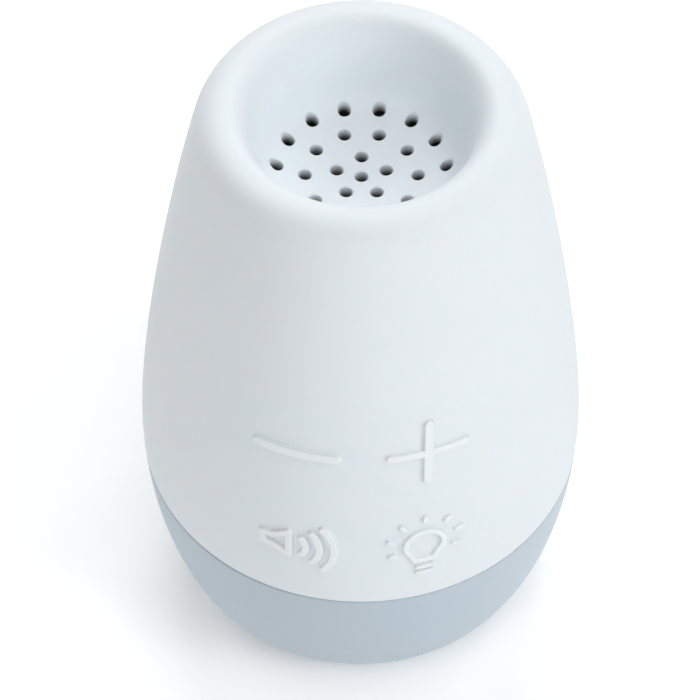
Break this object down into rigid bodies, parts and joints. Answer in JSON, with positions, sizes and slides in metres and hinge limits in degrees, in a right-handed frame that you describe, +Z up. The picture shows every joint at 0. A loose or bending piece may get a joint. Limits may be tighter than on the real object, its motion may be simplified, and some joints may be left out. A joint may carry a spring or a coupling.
{
  "type": "white noise sound machine",
  "caption": "Small free-standing white noise sound machine: tumbler-shaped soft white body with a speaker bowl in its top, raised soft keys on its front and a blue-grey base.",
  "frame": {"origin": "on the floor, under the middle of the round body", "axes": "+Z up, -Y towards the front with the keys, +X to the right seen from the front"},
  "size_m": [0.07, 0.07, 0.105],
  "materials": {
    "white_skin": "matt white soft silicone",
    "blue_grey_shell": "satin blue-grey moulded plastic",
    "milky_frame": "milky translucent moulded plastic",
    "foot_rubber": "dark grey non-slip rubber",
    "door_foam": "dark closed-cell foam",
    "tube_plastic": "light grey moulded plastic",
    "cartridge_plastic": "black moulded plastic",
    "cell_jacket": "metal jacket with a coloured band",
    "nickel_strip": "nickel-plated spring strip",
    "screw_steel": "zinc-plated steel",
    "board_laminate": "green circuit board laminate",
    "switch_metal": "pressed tin-plated cover",
    "plunger_plastic": "black moulded plastic",
    "chip_epoxy": "black moulded epoxy",
    "part_ceramic": "brown ceramic and metal cans",
    "socket_plastic": "cream moulded plastic",
    "light_board_laminate": "white circuit board laminate",
    "light_package": "clear resin over yellow phosphor",
    "basket_steel": "black painted pressed steel",
    "magnet_ferrite": "dark sintered ferrite",
    "yoke_steel": "zinc-plated turned steel",
    "cone_paper": "dark pressed paper",
    "coil_copper": "enamelled copper winding",
    "surround_foam": "black rubber roll",
    "spider_cloth": "resin-dipped cloth",
    "terminal_board": "brown phenolic strip with tinned lugs",
    "gasket_foam": "black foam ring",
    "wire_sleeve": "soft red and black wire sleeve"
  },
  "bodies": {
    "housing": {"soft_skin": "white_skin", "base_shell": "blue_grey_shell", "inner_frame": "milky_frame", "foot_pads": "foot_rubber", "battery_tube": "tube_plastic", "battery_cartridge": "cartridge_plastic", "battery_cells": "cell_jacket", "cartridge_contacts": "nickel_strip", "tube_contacts": "nickel_strip", "housing_screws": "screw_steel", "tube_screws": "screw_steel", "board_screws": "screw_steel", "light_screws": "screw_steel", "speaker_screws": "screw_steel", "main_board": "board_laminate", "switch_bodies": "switch_metal", "sound_chip": "chip_epoxy", "board_parts": "part_ceramic", "wire_sockets": "socket_plastic", "light_board": "light_board_laminate", "night_lights": "light_package", "speaker_basket": "basket_steel", "speaker_magnet": "magnet_ferrite", "speaker_yoke": "yoke_steel", "speaker_top_plate": "yoke_steel", "speaker_surround": "surround_foam", "speaker_spider": "spider_cloth", "speaker_terminals": "terminal_board", "speaker_gasket": "gasket_foam", "speaker_wires": "wire_sleeve", "battery_wires": "wire_sleeve", "light_wires": "wire_sleeve"},
    "minus_key": {"key_minus": "white_skin", "plunger_minus": "plunger_plastic"},
    "plus_key": {"key_plus": "white_skin", "plunger_plus": "plunger_plastic"},
    "sound_key": {"key_sound": "white_skin", "plunger_sound": "plunger_plastic"},
    "light_key": {"key_light": "white_skin", "plunger_light": "plunger_plastic"},
    "cone": {"speaker_cone": "cone_paper", "voice_coil": "coil_copper"},
    "door": {"battery_door": "blue_grey_shell", "door_pad": "door_foam"}
  },
  "joints": [
    {"name": "minus_press", "type": "slide", "parent": "housing", "child": "minus_key", "axis": [0, 1, 0], "range_m": [0, 0.0005], "stiffness_N_per_m": 3000},
    {"name": "plus_press", "type": "slide", "parent": "housing", "child": "plus_key", "axis": [0, 1, 0], "range_m": [0, 0.0005], "stiffness_N_per_m": 3000},
    {"name": "sound_press", "type": "slide", "parent": "housing", "child": "sound_key", "axis": [0, 1, 0], "range_m": [0, 0.0005], "stiffness_N_per_m": 3000},
    {"name": "light_press", "type": "slide", "parent": "housing", "child": "light_key", "axis": [0, 1, 0], "range_m": [0, 0.0005], "stiffness_N_per_m": 3000},
    {"name": "cone_stroke", "type": "slide", "parent": "housing", "child": "cone", "axis": [0, 0, 1], "range_m": [-0.0008, 0.0008], "stiffness_N_per_m": 1200, "deforming": ["speaker_surround", "speaker_spider"]},
    {"name": "door_turn", "type": "hinge", "parent": "housing", "child": "door", "pos_m": [0, 0, 0.002], "axis": [0, 0, -1], "range_deg": [0, 45]}
  ]
}
